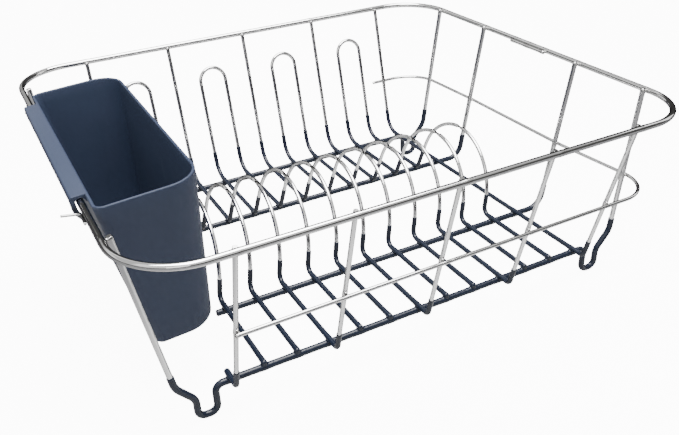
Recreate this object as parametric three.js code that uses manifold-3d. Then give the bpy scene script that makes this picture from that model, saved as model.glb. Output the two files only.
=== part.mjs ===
// A free-standing wire dish rack: welded steel wires, the lower part dipped in navy vinyl and the upper part
// chromed, with a moulded cutlery caddy hooked over the left end of its rim.
// Millimetres, +Z up, +X along the row of plate slots, +Y towards the tall loops at the back.
import * as THREE from "three";
import { mergeVertices } from "three/addons/utils/BufferGeometryUtils.js";
import Module from "manifold-3d";

const wasm = await Module();
wasm.setup();

// ---- wire radii, bare and with the vinyl on ----
const rimR = 2.4;
const frameR = 2.1;
const frameCoatR = 2.6;
const crossR = 1.7;
const crossCoatR = 2.1;
const guardR = 1.5;
const spurR = 0.9;
const spliceR = 1.5;
const weldGap = 0.3; // left between wires that are welded where they cross

// ---- plan ----
const slotPitch = 25.4; // one cross wire to the next
const lastWire = 12; // cross wires are counted 0 to 12 from the caddy's end
const baseShift = 2.5; // the cross wires' middle is this far right of the rim's centre
const frontFrameShift = 3.8; // and so is the front frame wire's
const rearFrameShift = -2.5;
const footSetback = 19.4; // outermost cross wire to the middle of a foot
const endSplay = 40.7; // middle of a foot to the rim at that end
const railHalfSpread = 137; // the front and rear rails, either side of the middle
const sideSplay = 50; // front or rear rail to the rim on that side
const rimCornerR = 46;

// ---- heights ----
const railHeight = 24.5;
const guardHeight = 84.5;
const guardRearDrop = 4; // its rear arm is this much lower
const rimHeight = 156;
const loopTop = 131;
const legTipRise = 2.4; // a leg's end stands this far over the rim's centre
const uprightTipRise = 0.8; // and an upright's end this far
const dipHeight = 47.5; // the vinyl reaches this high at the middle of the rack
const dipRise = 0.018; // and this much higher per millimetre towards the back

// ---- bends ----
const footHalfWidth = 7.1; // half of the U of a foot, between wire centres
const footBendR = 6;
const shoulderHeight = 19; // a foot's outer leg turns outwards here
const shoulderRun = 12.5;
const shoulderRise = 15;
const shoulderLowerBendR = 12;
const shoulderUpperBendR = 16;
const railOverhang = 29.1; // last cross wire to where a plate rail turns up
const railNub = 1; // free end of a plate rail past the first arch
const railBendR = 15;
const frontBendReach = 12.7; // front rail to the corner of an upright
const frontBendR = 5;
const rearBendReach = 15.8;
const rearBendR = 18;
const uprightNub = 5.8; // inner end of the two short uprights past their rail
const buttReach = 1.5; // end of a cross wire that stops on the front rail
const guardCornerEase = 0.1; // straight guard rail between its corner bend and the leg's weld
const guardOverrun = 11.5; // the guard rail's rear end past the last upright
const guardBowR = 200;

// ---- plate arches ----
const archR = 51;
const archTop = 92;
const archLean = 0.12; // sideways per unit of height, the way the plates lean
const plateRailSetback = 11.5; // an arch's front leg to its plate rail
const archRearSpread = 6.5; // how much wider the rear leg stands than the front one
const archFrontBendR = 7;
const archRearBendR = 4;

// ---- caddy ----
const caddyWidth = 70;
const caddyLength = 221;
const caddyDepth = 120.5;
const caddyWall = 2.2;
const caddyFloor = 2.4;
const rimSideDraft = THREE.MathUtils.degToRad(7.3);
const plateSideDraft = THREE.MathUtils.degToRad(4);
const endDraft = THREE.MathUtils.degToRad(3.5);
const caddyTilt = THREE.MathUtils.degToRad(3.5);
const caddyOffset = 3; // towards the back, from the middle of the rim's end
const innerCornerR = 22;
const outerCornerR = 7;
const floorEdgeR = 5;
const hookLength = 173;
const hookSideGap = 1.2; // rim to either cheek of the hook
const hookSkirt = 3; // the hook's skirt below the rim's centre
const hookEdgeR = 1.5;
const drainSlots = 6;
const drainSlotLength = 26;
const drainSlotWidth = 4;
const drainPitch = 30;

// ---- small wires at the rim ----
const spliceLength = 45;
const spliceDrop = THREE.MathUtils.degToRad(14); // below level, seen from the rim's centre
const spurRun = 14; // along the rim
const spurClearance = 11; // hook end to the spur's bend
const frontSpurReach = 11;
const rearSpurReach = 4;
const spurBendR = 4;
const spurEndRun = 3.6; // along the rim, from the bend to the tip

// ---- facets: a bend tighter than this radius is cut into coarser steps ----
const tightBendR = 10;
const tightStep = THREE.MathUtils.degToRad(24);
const wideStep = THREE.MathUtils.degToRad(15);
const samePoint = 0.05;

// ---- what follows from the sizes above ----
const halfSlots = (lastWire / 2) * slotPitch;
const footX = halfSlots + footSetback;
const rimHalfLength = footX + endSplay;
const rimHalfDepth = railHalfSpread + sideSplay;
const crossHeight = railHeight + frameCoatR + crossCoatR + weldGap;
const archRearFoot = archR + archRearSpread;
const plateRailY = archR + plateRailSetback;
const crossX = (i) => baseShift - halfSlots + i * slotPitch;

const chrome = { color: 0xd9dbdd, roughness: 0.12, metalness: 1 };
const navyVinyl = { color: 0x2b3444, roughness: 0.35, metalness: 0 };
const navyPlastic = { color: 0x3f4859, roughness: 0.5, metalness: 0 };

// ---- solids ----

/** A closed geometry as a manifold-3d solid. */
function toSolid(geometry) {
  const bare = geometry.clone();
  bare.deleteAttribute("normal");
  bare.deleteAttribute("uv");
  const merged = mergeVertices(bare, 1e-4);
  return new wasm.Manifold(
    new wasm.Mesh({
      numProp: 3,
      vertProperties: merged.attributes.position.array,
      triVerts: new Uint32Array(merged.index.array),
    }),
  );
}

/** A manifold-3d solid as a BufferGeometry. */
function toGeometry(solid) {
  const mesh = solid.getMesh();
  return new THREE.BufferGeometry()
    .setAttribute("position", new THREE.BufferAttribute(mesh.vertProperties, 3))
    .setIndex(new THREE.BufferAttribute(mesh.triVerts, 1));
}

/** A curve through given points that puts an extrusion's steps exactly on them. */
class PointCurve extends THREE.Curve {
  constructor(points) {
    super();
    this.points = points;
  }
  indexAt(u) {
    return Math.round(u * (this.points.length - 1));
  }
  getPoint(t, target = new THREE.Vector3()) {
    return target.copy(this.points[this.indexAt(t)]);
  }
  getPointAt(u, target) {
    return this.getPoint(u, target);
  }
  getTangentAt(u, target = new THREE.Vector3()) {
    const i = this.indexAt(u);
    const here = this.points[i];
    const before = this.points[i - 1] ?? here;
    const after = this.points[i + 1] ?? here;
    const arriving = here.clone().sub(before).normalize();
    const leaving = after.clone().sub(here).normalize();
    return target.addVectors(arriving, leaving).normalize();
  }
}

/** The points of a wire that runs straight from corner to corner and turns each one on its bend radius. */
function bentPoints(corners) {
  const points = [corners[0].at];
  for (let i = 1; i < corners.length - 1; i++) {
    const { at, bend } = corners[i];
    const back = corners[i - 1].at.clone().sub(at).normalize();
    const ahead = corners[i + 1].at.clone().sub(at).normalize();
    const turn = Math.PI - back.angleTo(ahead);
    const cut = bend * Math.tan(turn / 2);
    const middle = back.clone().add(ahead).normalize();
    const centre = at.clone().addScaledVector(middle, bend / Math.cos(turn / 2));
    const from = at.clone().addScaledVector(back, cut).sub(centre);
    const axis = back.clone().cross(from).normalize();
    const steps = Math.max(1, Math.ceil(turn / (bend < tightBendR ? tightStep : wideStep) - 1e-6));
    for (let k = 0; k <= steps; k++) {
      const point = from.clone().applyAxisAngle(axis, (turn * k) / steps).add(centre);
      if (point.distanceTo(points[points.length - 1]) > samePoint) points.push(point);
    }
  }
  points.push(corners[corners.length - 1].at);
  return points;
}

/** A round wire of eight flats along the points. */
function wireSolid(points, radius) {
  const section = new THREE.Shape();
  for (let k = 0; k < 8; k++) {
    const angle = ((k + 0.5) * Math.PI) / 4;
    const x = radius * Math.cos(angle);
    const y = radius * Math.sin(angle);
    if (k) section.lineTo(x, y);
    else section.moveTo(x, y);
  }
  section.closePath();
  return toSolid(
    new THREE.ExtrudeGeometry(section, {
      steps: points.length - 1,
      extrudePath: new PointCurve(points),
    }),
  );
}

/** How far a point stands above the top of the vinyl. */
const aboveDip = (p) => p.z - dipHeight - dipRise * p.y;

/** The stretches of a wire that the vinyl covers, cut off level with the dip. */
function dippedStretches(points) {
  const stretches = [];
  let open = aboveDip(points[0]) < 0 ? [points[0]] : null;
  for (let i = 1; i < points.length; i++) {
    const from = aboveDip(points[i - 1]);
    const to = aboveDip(points[i]);
    if (from < 0 !== to < 0) {
      const cut = points[i - 1].clone().lerp(points[i], from / (from - to));
      if (from < 0) {
        stretches.push([...open, cut]);
        open = null;
      } else {
        open = [cut];
      }
    }
    if (to < 0) open.push(points[i]);
  }
  if (open) stretches.push(open);
  return stretches;
}

/** A bent wire with its vinyl, as one solid. */
function dippedWire(corners, radius, coatRadius) {
  const points = bentPoints(corners);
  return dippedStretches(points).reduce(
    (solid, stretch) => solid.add(wireSolid(stretch, coatRadius)),
    wireSolid(points, radius),
  );
}

const corner = (x, y, z, bend = 0) => ({ at: new THREE.Vector3(x, y, z), bend });

/** Sideways room between a leaning wire's axis and the level wire that it is welded to. */
const beside = (radii, run, rise) => (radii + weldGap) / Math.cos(Math.atan2(run, rise));

// ---- the rim ----

/** The rim: one wire round the rack, its ends butted in the middle of the right end. */
function rimSolid() {
  const x = rimHalfLength;
  const y = rimHalfDepth;
  const z = rimHeight;
  return wireSolid(
    bentPoints([
      corner(x, weldGap / 2, z),
      corner(x, y, z, rimCornerR),
      corner(-x, y, z, rimCornerR),
      corner(-x, -y, z, rimCornerR),
      corner(x, -y, z, rimCornerR),
      corner(x, -weldGap / 2, z),
    ]),
    rimR,
  );
}

/** The short bar welded along the inside of the rim's joint. */
function spliceSolid() {
  const apart = rimR + spliceR + weldGap;
  const x = rimHalfLength - apart * Math.cos(spliceDrop);
  const z = rimHeight - apart * Math.sin(spliceDrop);
  return wireSolid(
    [new THREE.Vector3(x, -spliceLength / 2, z), new THREE.Vector3(x, spliceLength / 2, z)],
    spliceR,
  );
}

// ---- frame wires and rails, which run along X ----

const footCentreX = (side, shift) => shift + side * footX;
const legFootX = (side, shift) => footCentreX(side, shift) + side * (footHalfWidth + shoulderRun);
const legFootHeight = shoulderHeight + shoulderRise;
const legTopX = rimHalfLength - beside(rimR + frameR, endSplay, rimHeight);
const legTop = rimHeight + legTipRise;

/** The line of an end leg through its lower corner and the weld at the rim: its X at a height. */
function legX(side, footX0, footZ0, z) {
  const lean = (side * legTopX - footX0) / (rimHeight - footZ0);
  return footX0 + lean * (z - footZ0);
}

/** One end of a frame wire, from the rim down the leg, round the foot and up to the rail. */
function frameEndCorners(side, y, shift) {
  const inner = footCentreX(side, shift) - side * footHalfWidth;
  const outer = footCentreX(side, shift) + side * footHalfWidth;
  const legFoot = legFootX(side, shift);
  const footHeight = frameCoatR * Math.cos(Math.PI / 8);
  return [
    corner(legX(side, legFoot, legFootHeight, legTop), y, legTop),
    corner(legFoot, y, legFootHeight, shoulderUpperBendR),
    corner(outer, y, shoulderHeight, shoulderLowerBendR),
    corner(outer, y, footHeight, footBendR),
    corner(inner, y, footHeight, footBendR),
    corner(inner, y, railHeight, footBendR),
  ];
}

/** The front or rear frame wire: both end legs, both feet and the rail between them. */
function frameWire(y, shift) {
  return dippedWire(
    [...frameEndCorners(-1, y, shift), ...frameEndCorners(1, y, shift).reverse()],
    frameR,
    frameCoatR,
  );
}

const plateRailTurnX = crossX(lastWire) + railOverhang;

/** A plate rail: free at the caddy's end, and bent up to the rim at the other. */
function plateRail(y) {
  return dippedWire(
    [
      corner(crossX(1) - railNub, y, railHeight),
      corner(plateRailTurnX, y, railHeight, railBendR),
      corner(legX(1, plateRailTurnX, railHeight, legTop), y, legTop),
    ],
    frameR,
    frameCoatR,
  );
}

// ---- cross wires, which run along Y ----

const frontCornerY = -railHalfSpread - frontBendReach;
const rearCornerY = railHalfSpread + rearBendReach;
const uprightTopY = rimHalfDepth - beside(rimR + crossR, sideSplay, rimHeight);
const uprightRise = rimHeight - crossHeight;

/** The Y of a front (-1) or rear (1) upright at a height. */
function uprightY(side, z) {
  const foot = side < 0 ? frontCornerY : rearCornerY;
  return foot + ((side * uprightTopY - foot) * (z - crossHeight)) / uprightRise;
}

/** The upper end of an upright, just over the rim. */
const uprightTop = rimHeight + uprightTipRise;
const uprightTip = (x, side) => corner(x, uprightY(side, uprightTop), uprightTop);

const frontCorner = (x) => corner(x, frontCornerY, crossHeight, frontBendR);
const rearCorner = (x) => corner(x, rearCornerY, crossHeight, rearBendR);
const buttEnd = (x) => corner(x, -railHalfSpread - buttReach, crossHeight);

/** The corners of a plate arch, from its front foot to its rear foot. */
function archCorners(x) {
  const height = archTop - crossHeight;
  const top = x + archLean * height;
  const spring = archTop - archR - crossHeight;
  const toCentre = Math.hypot(archRearFoot, spring);
  const legAngle = Math.asin(archR / toCentre) + Math.atan2(spring, archRearFoot);
  const rearTop = archRearFoot - height / Math.tan(legAngle);
  return [
    corner(x, -archR, crossHeight, archFrontBendR),
    corner(top, -archR, archTop, archR),
    corner(top, rearTop, archTop, archR),
    corner(x, archRearFoot, crossHeight, archRearBendR),
  ];
}

/** A single cross wire with a front upright, an arch and a rear upright. */
function uprightArchWire(x) {
  return dippedWire(
    [uprightTip(x, -1), frontCorner(x), ...archCorners(x), rearCorner(x), uprightTip(x, 1)],
    crossR,
    crossCoatR,
  );
}

/** The last cross wire, flat across the base between its two uprights. */
function flatCrossWire(x) {
  return dippedWire(
    [uprightTip(x, -1), frontCorner(x), rearCorner(x), uprightTip(x, 1)],
    crossR,
    crossCoatR,
  );
}

/** Two neighbouring arches made from one wire, which joins them in a tall loop at the back. */
function loopedPair(first) {
  const loopY = uprightY(1, loopTop);
  const half = (x) => [
    buttEnd(x),
    ...archCorners(x),
    rearCorner(x),
    corner(x, loopY, loopTop, slotPitch / 2),
  ];
  return dippedWire([...half(crossX(first)), ...half(crossX(first + 1)).reverse()], crossR, crossCoatR);
}

/** An upright at the caddy's end, hooked over its rail with a short inner end. */
function shortUpright(side) {
  const x = crossX(0);
  const turn = side < 0 ? frontCorner(x) : rearCorner(x);
  const end = corner(x, side * (railHalfSpread - uprightNub), crossHeight);
  return dippedWire([end, turn, uprightTip(x, side)], crossR, crossCoatR);
}

/** The guard rail: round the outside of the uprights along the front, the right end and the rear corner. */
function guardSolid() {
  const rearHeight = guardHeight - guardRearDrop;
  const outY = (side, z) => {
    const room = beside(crossR + guardR, uprightTopY - railHalfSpread, uprightRise);
    return uprightY(side, z) + side * room;
  };
  const room = beside(frameR + guardR, endSplay, rimHeight);
  const atPlateRail = legX(1, plateRailTurnX, railHeight, guardHeight) + room;
  const cornerX = (y, z, shift) => {
    const atFrameLeg = legX(1, legFootX(1, shift), legFootHeight, z) + room;
    const bow = (atFrameLeg - atPlateRail) / (railHalfSpread - plateRailY);
    return atFrameLeg + bow * (Math.abs(y) - railHalfSpread);
  };
  const cornerR = (y) => Math.abs(y) - railHalfSpread - guardCornerEase;
  const frontY = outY(-1, guardHeight);
  const rearY = outY(1, rearHeight);
  return wireSolid(
    bentPoints([
      corner(crossX(0) - crossR, frontY, guardHeight),
      corner(cornerX(frontY, guardHeight, frontFrameShift), frontY, guardHeight, cornerR(frontY)),
      corner(atPlateRail, -plateRailY, guardHeight, guardBowR),
      corner(atPlateRail, plateRailY, guardHeight, guardBowR),
      corner(cornerX(rearY, rearHeight, rearFrameShift), rearY, rearHeight, cornerR(rearY)),
      corner(crossX(lastWire) - guardOverrun, rearY, rearHeight),
    ]),
    guardR,
  );
}

/** A stop wire welded along the rim beside the caddy's hook, its end bent outwards. */
function rimSpur(side, dropAngle, reach) {
  const apart = rimR + spurR + weldGap;
  const x = -rimHalfLength - apart * Math.cos(dropAngle);
  const z = rimHeight - apart * Math.sin(dropAngle);
  const bendY = caddyOffset + side * (hookLength / 2 + spurClearance);
  return wireSolid(
    bentPoints([
      corner(x, bendY + side * spurRun, z),
      corner(x, bendY, z, spurBendR),
      corner(x - reach, bendY - side * spurEndRun, z),
    ]),
    spurR,
  );
}

// ---- the caddy, built about the rim's centre line: +X into the rack, +Z up ----

const hookCheek = rimR + hookSideGap;
const hookTop = rimR + weldGap + caddyWall;
const caddyMiddle = hookCheek + caddyWidth / 2;

/** A rectangle with the caddy's corner radii, larger on the side that faces the plates. */
function caddyOutline(inset) {
  const x = caddyWidth / 2 - inset;
  const y = caddyLength / 2 - inset;
  const near = Math.max(outerCornerR - inset, 1);
  const far = innerCornerR - inset;
  const outline = new THREE.Shape();
  outline.absarc(x - far, -y + far, far, -Math.PI / 2, 0);
  outline.absarc(x - far, y - far, far, 0, Math.PI / 2);
  outline.absarc(-x + near, y - near, near, Math.PI / 2, Math.PI);
  outline.absarc(-x + near, -y + near, near, Math.PI, Math.PI * 1.5);
  outline.closePath();
  return outline;
}

/** A drafted tub standing on its floor edge's rounding. Levels count down from the caddy's top edge. */
function tubSolid(inset, top, bottom, edgeR) {
  const levels = [{ z: top, tuck: 0 }];
  for (let k = 0; k <= 3; k++) {
    const angle = (k / 3) * (Math.PI / 2);
    levels.unshift({ z: bottom + edgeR * (1 - Math.sin(angle)), tuck: edgeR * (1 - Math.cos(angle)) });
  }
  const geometry = new THREE.ExtrudeGeometry(caddyOutline(inset), {
    depth: levels.length - 1,
    steps: levels.length - 1,
    bevelEnabled: false,
    curveSegments: 5,
  });
  const place = geometry.attributes.position;
  const halfWidth = caddyWidth / 2 - inset;
  const halfLength = caddyLength / 2 - inset;
  for (let i = 0; i < place.count; i++) {
    const { z, tuck } = levels[Math.round(place.getZ(i))];
    const fall = hookTop - z;
    const rimSide = fall * Math.tan(rimSideDraft);
    const plateSide = fall * Math.tan(plateSideDraft);
    const acrossScale = 1 - ((rimSide + plateSide) / 2 + tuck) / halfWidth;
    const alongScale = 1 - (fall * Math.tan(endDraft) + tuck) / halfLength;
    const x = caddyMiddle + (rimSide - plateSide) / 2 + place.getX(i) * acrossScale;
    place.setXYZ(i, x, place.getY(i) * alongScale, z);
  }
  return toSolid(geometry);
}

/** The channel that hooks the caddy over the rim. */
function hookSolid() {
  const outer = -hookCheek - caddyWall;
  const spring = rimR + weldGap - hookCheek;
  const intoWall = hookCheek + caddyWall / 2;
  const channel = new THREE.Shape();
  channel.moveTo(intoWall, hookTop);
  channel.lineTo(outer + hookEdgeR, hookTop);
  channel.absarc(outer + hookEdgeR, hookTop - hookEdgeR, hookEdgeR, Math.PI / 2, Math.PI);
  channel.lineTo(outer, -hookSkirt);
  channel.lineTo(-hookCheek, -hookSkirt);
  channel.absarc(0, spring, hookCheek, Math.PI, 0, true);
  channel.lineTo(intoWall, spring);
  channel.closePath();
  const geometry = new THREE.ExtrudeGeometry(channel, {
    depth: hookLength,
    bevelEnabled: false,
    curveSegments: 5,
  });
  geometry.translate(0, 0, -hookLength / 2);
  geometry.rotateX(Math.PI / 2);
  return toSolid(geometry);
}

/** One drain slot through the caddy's floor. */
function drainSolid(y) {
  const reach = (drainSlotLength - drainSlotWidth) / 2;
  const slot = new THREE.Shape();
  slot.absarc(reach, 0, drainSlotWidth / 2, -Math.PI / 2, Math.PI / 2);
  slot.absarc(-reach, 0, drainSlotWidth / 2, Math.PI / 2, Math.PI * 1.5);
  slot.closePath();
  const geometry = new THREE.ExtrudeGeometry(slot, {
    depth: caddyFloor * 3,
    bevelEnabled: false,
    curveSegments: 4,
  });
  const drift = (caddyDepth * (Math.tan(rimSideDraft) - Math.tan(plateSideDraft))) / 2;
  geometry.translate(caddyMiddle + drift, y, hookTop - caddyDepth - caddyFloor);
  return toSolid(geometry);
}

/** The caddy: a drafted tub with its hook and its drain slots. */
function caddySolid() {
  const bottom = hookTop - caddyDepth;
  const outside = tubSolid(0, hookTop, bottom, floorEdgeR);
  const inside = tubSolid(caddyWall, hookTop + 1, bottom + caddyFloor, floorEdgeR - caddyWall);
  let tub = outside.add(hookSolid()).subtract(inside);
  for (let k = 0; k < drainSlots; k++) {
    tub = tub.subtract(drainSolid((k - (drainSlots - 1) / 2) * drainPitch));
  }
  return tub;
}

// ---- assembly ----

/** A named mesh of a solid in one of the finishes. */
function piece(name, solid, finish) {
  const mesh = new THREE.Mesh(toGeometry(solid), new THREE.MeshStandardMaterial(finish));
  mesh.name = name;
  return mesh;
}

const rack = new THREE.Group();

rack.add(piece("top_rim", rimSolid(), chrome));
rack.add(piece("rim_splice", spliceSolid(), chrome));
rack.add(piece("front_frame_wire", frameWire(-railHalfSpread, frontFrameShift), navyVinyl));
rack.add(piece("rear_frame_wire", frameWire(railHalfSpread, rearFrameShift), navyVinyl));
rack.add(piece("front_plate_rail", plateRail(-plateRailY), navyVinyl));
rack.add(piece("rear_plate_rail", plateRail(plateRailY), navyVinyl));
rack.add(piece("guard_rail", guardSolid(), chrome));
rack.add(piece("front_left_upright", shortUpright(-1), chrome));
rack.add(piece("rear_left_upright", shortUpright(1), chrome));
for (const i of [3, 6, 9]) {
  rack.add(piece(`arch_wire_${i}`, uprightArchWire(crossX(i)), chrome));
}
for (const i of [1, 4, 7, 10]) {
  rack.add(piece(`looped_arch_wire_${i}_${i + 1}`, loopedPair(i), chrome));
}
rack.add(piece("end_cross_wire", flatCrossWire(crossX(lastWire)), navyVinyl));
rack.add(piece("front_rim_spur", rimSpur(-1, THREE.MathUtils.degToRad(35), frontSpurReach), chrome));
rack.add(piece("rear_rim_spur", rimSpur(1, THREE.MathUtils.degToRad(70), rearSpurReach), chrome));

const caddy = new THREE.Group();
caddy.position.set(-rimHalfLength, caddyOffset, rimHeight);
caddy.rotation.y = -caddyTilt;
caddy.add(piece("cutlery_caddy", caddySolid(), navyPlastic));
rack.add(caddy);

// The origin is on the ground, under the middle of the rack.
rack.updateMatrixWorld(true);
const bounds = new THREE.Box3().setFromObject(rack, true);
const middle = bounds.getCenter(new THREE.Vector3());
rack.position.set(-middle.x, -middle.y, -bounds.min.z);

export default rack;
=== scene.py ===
"""A wire dish rack: chromed wires, a base dipped in navy vinyl and a moulded caddy on the rim."""
import logging
import math
from collections.abc import Callable, Iterable, Sequence
from dataclasses import dataclass
from enum import Enum

import bmesh
import bpy
from mathutils import Matrix, Quaternion, Vector


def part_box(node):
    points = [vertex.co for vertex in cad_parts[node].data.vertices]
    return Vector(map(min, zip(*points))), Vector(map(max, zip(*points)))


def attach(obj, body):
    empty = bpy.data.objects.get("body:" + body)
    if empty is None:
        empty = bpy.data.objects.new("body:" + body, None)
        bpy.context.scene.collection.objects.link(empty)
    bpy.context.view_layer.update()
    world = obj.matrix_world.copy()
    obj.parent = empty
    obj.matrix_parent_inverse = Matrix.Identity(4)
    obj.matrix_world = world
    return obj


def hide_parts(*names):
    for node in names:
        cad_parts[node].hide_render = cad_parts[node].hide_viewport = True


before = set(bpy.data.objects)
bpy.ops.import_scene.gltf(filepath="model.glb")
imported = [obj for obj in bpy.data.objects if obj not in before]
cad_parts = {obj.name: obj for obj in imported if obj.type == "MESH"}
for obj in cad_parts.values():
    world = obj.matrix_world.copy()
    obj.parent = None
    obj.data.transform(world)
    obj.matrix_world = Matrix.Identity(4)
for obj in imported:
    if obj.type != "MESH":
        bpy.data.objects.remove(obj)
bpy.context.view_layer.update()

logging.basicConfig(level=logging.INFO, format="%(message)s")
log = logging.getLogger("dish_rack")

MM = 0.001
Colour = tuple[float, float, float]
Flat = tuple[float, float]
Place = Callable[[float, float, float], tuple[float, float, float]]

# Places in the row that have an upright to the rim, at the front and at the rear.
UPRIGHT_WIRES = (0, 3, 6, 9, 12)
# Girth near a wire's end, by distance from it as a share of the radius.
FREE_END = ((0.0, 0.25), (0.08, 0.55), (0.25, 0.80), (0.5, 0.94))
CUT_END = ((0.0, 0.80), (0.12, 0.95))
# The longest gap between two points of a coat, and how far it runs past a free end, in metres.
COAT_STEP = 0.0012
COAT_OVERRUN = 0.0007
BEND_STEP = 5


class Side(Enum):
    """The front or the rear of the rack, as the sign of its Y."""

    FRONT = -1
    REAR = 1


class Body(Enum):
    """The rigid bodies that pieces ride on."""

    RACK = "rack"
    CADDY = "caddy"


class Slot(Enum):
    """The record's material slots."""

    CHROME = "chrome_wire"
    VINYL = "navy_vinyl"
    PLASTIC = "navy_plastic"


# ---------------------------------------------------------------- node trees


class Value:
    """A socket of a node tree. Python operators on it add Math nodes."""

    def __init__(self, graph: "Graph", socket: bpy.types.NodeSocket) -> None:
        """Wraps a socket of graph."""
        self.graph = graph
        self.socket = socket

    def math(self, operation: str, *operands: "Value | float") -> "Value":
        """Adds a Math node.

        Args:
            operation: The node's operation.
            operands: What its inputs take, in order.

        Returns:
            The node's result.
        """
        return self.graph.add("ShaderNodeMath", dict(enumerate(operands)), operation=operation)

    def __add__(self, other: "Value | float") -> "Value":
        """self + other."""
        return self.math("ADD", self, other)

    __radd__ = __add__

    def __sub__(self, other: "Value | float") -> "Value":
        """self - other."""
        return self.math("SUBTRACT", self, other)

    def __rsub__(self, other: "Value | float") -> "Value":
        """other - self."""
        return self.math("SUBTRACT", other, self)

    def __mul__(self, other: "Value | float") -> "Value":
        """self * other."""
        return self.math("MULTIPLY", self, other)

    __rmul__ = __mul__

    def __truediv__(self, other: "Value | float") -> "Value":
        """self / other."""
        return self.math("DIVIDE", self, other)

    def ramp(self, low: float, high: float) -> "Value":
        """0 at low, 1 at high, smooth between them and held outside.

        Args:
            low: Where it is 0.
            high: Where it is 1.

        Returns:
            The ramped value.
        """
        return self.graph.add(
            "ShaderNodeMapRange",
            {"Value": self, "From Min": low, "From Max": high},
            interpolation_type="SMOOTHSTEP",
        )


class Graph:
    """A node tree that is written as Python expressions."""

    def __init__(self, tree: bpy.types.NodeTree) -> None:
        """Starts from an empty tree."""
        self.tree = tree
        tree.nodes.clear()

    def feed(self, socket: bpy.types.NodeSocket, value: object) -> None:
        """Links value to the socket, or sets it where value is a constant.

        Args:
            socket: The input.
            value: A Value or a constant.
        """
        if isinstance(value, Value):
            self.tree.links.new(value.socket, socket)
        else:
            socket.default_value = value

    def add(
        self,
        kind: str,
        inputs: dict[str | int, object] | None = None,
        output: str | int = 0,
        **settings: object,
    ) -> Value:
        """Adds a node of any kind.

        Args:
            kind: The node's type name.
            inputs: Value or constant by input name or index.
            output: Which output to give back, by name or index.
            settings: The node's own properties.

        Returns:
            The chosen output.
        """
        node = self.tree.nodes.new(kind)
        for name, setting in settings.items():
            setattr(node, name, setting)
        for key, value in (inputs or {}).items():
            self.feed(node.inputs[key], value)
        return Value(self, node.outputs[output] if len(node.outputs) else None)


class Surface(Graph):
    """A material's tree, with the textures that the finishes share."""

    def __init__(self, name: str) -> None:
        """Makes the material and its coordinates.

        Args:
            name: The material's name.
        """
        self.material = bpy.data.materials.new(name)
        self.material.use_nodes = True
        super().__init__(self.material.node_tree)
        self.place = self.add("ShaderNodeTexCoord", output="Object")

    def noise(self, scale: float, detail: float = 3.0, stretch: Colour = (1, 1, 1), at: Value | None = None) -> Value:
        """Noise from 0 to 1, with scale features to a metre.

        Args:
            scale: Features to a metre, or to a unit of at.
            detail: Octaves of finer noise.
            stretch: The share of scale along each axis.
            at: The coordinates, or the object's own.

        Returns:
            The noise.
        """
        scaled = self.add("ShaderNodeMapping", {"Vector": at or self.place, "Scale": stretch})
        return self.add(
            "ShaderNodeTexNoise", {"Vector": scaled, "Scale": scale, "Detail": detail}, output="Fac"
        )

    def attribute(self, name: str) -> Value:
        """A number that was stored on the mesh."""
        return self.add("ShaderNodeAttribute", output="Fac", attribute_name=name)

    def mix(self, factor: Value | float, first: Colour | Value, second: Colour | Value) -> Value:
        """Mixes two colours."""
        first, second = (c if isinstance(c, Value) else (*c, 1.0) for c in (first, second))
        return self.add("ShaderNodeMix", {0: factor, 6: first, 7: second}, output=2, data_type="RGBA")

    def bump(self, height: Value, depth: float, normal: Value | None = None) -> Value:
        """Raises the surface by height times depth, in metres.

        Args:
            height: The relief, from 0 to 1.
            depth: Its depth in metres.
            normal: The normal that it adds to, if any.

        Returns:
            The bumped normal.
        """
        inputs: dict[str | int, object] = {"Height": height, "Distance": depth, "Strength": 1.0}
        if normal is not None:
            inputs["Normal"] = normal
        return self.add("ShaderNodeBump", inputs)

    def finish(self, **inputs: object) -> bpy.types.Material:
        """Ends the material in a Principled BSDF.

        Args:
            inputs: Values by input name, with underscores for spaces.

        Returns:
            The material.
        """
        named = {name.replace("_", " "): value for name, value in inputs.items()}
        shader = self.add("ShaderNodeBsdfPrincipled", named)
        self.add("ShaderNodeOutputMaterial", {"Surface": shader})
        return self.material


# ---------------------------------------------------------------- finishes


@dataclass(frozen=True)
class ChromePlate:
    """Bright plating on drawn wire, duller where a weld was made under it, with a dark edge tint that paints shade
    into its edges as a painted reflection of dark surroundings.
    """

    colour: Colour = (0.76, 0.76, 0.755)
    dulled: Colour = (0.50, 0.49, 0.48)
    # edge: a near-black tint at grazing angles; painted shade on the wires' edges, standing in for dark surroundings
    # reflected there.
    edge: Colour = (0.04, 0.04, 0.04)
    roughness: float = 0.06
    weld_roughness: float = 0.22
    draw_depth: float = 0.000006
    wave_depth: float = 0.000005

    def material(self) -> bpy.types.Material:
        """Builds the material.

        Returns:
            The material.
        """
        s = Surface("chrome_plate")
        weld = s.attribute("weld")
        around = s.attribute("around")
        along = s.attribute("along")
        lines_at = s.add("ShaderNodeCombineXYZ", {"X": around * 40.0, "Y": along * 25.0})
        lines = s.noise(1.0, 2.0, at=lines_at)
        cloud = s.noise(60.0, 4.0)
        speck = s.noise(900.0, 2.0).ramp(0.66, 0.74)
        worn = weld * cloud.ramp(0.3, 0.6)
        haze = cloud.ramp(0.45, 0.75) * 0.05 + speck * 0.05
        colour = s.mix(worn * 0.8 + speck * 0.12, self.colour, self.dulled)
        rough = self.roughness + haze + worn * self.weld_roughness
        normal = s.bump(lines, self.draw_depth)
        waves = s.bump(s.noise(160.0, 1.0), self.wave_depth, normal)
        # The dark Specular Tint paints shade onto the wires' edges as a painted reflection.
        return s.finish(
            Base_Color=colour, Metallic=1.0, Roughness=rough, Normal=waves, Specular_Tint=(*self.edge, 1.0)
        )


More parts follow.
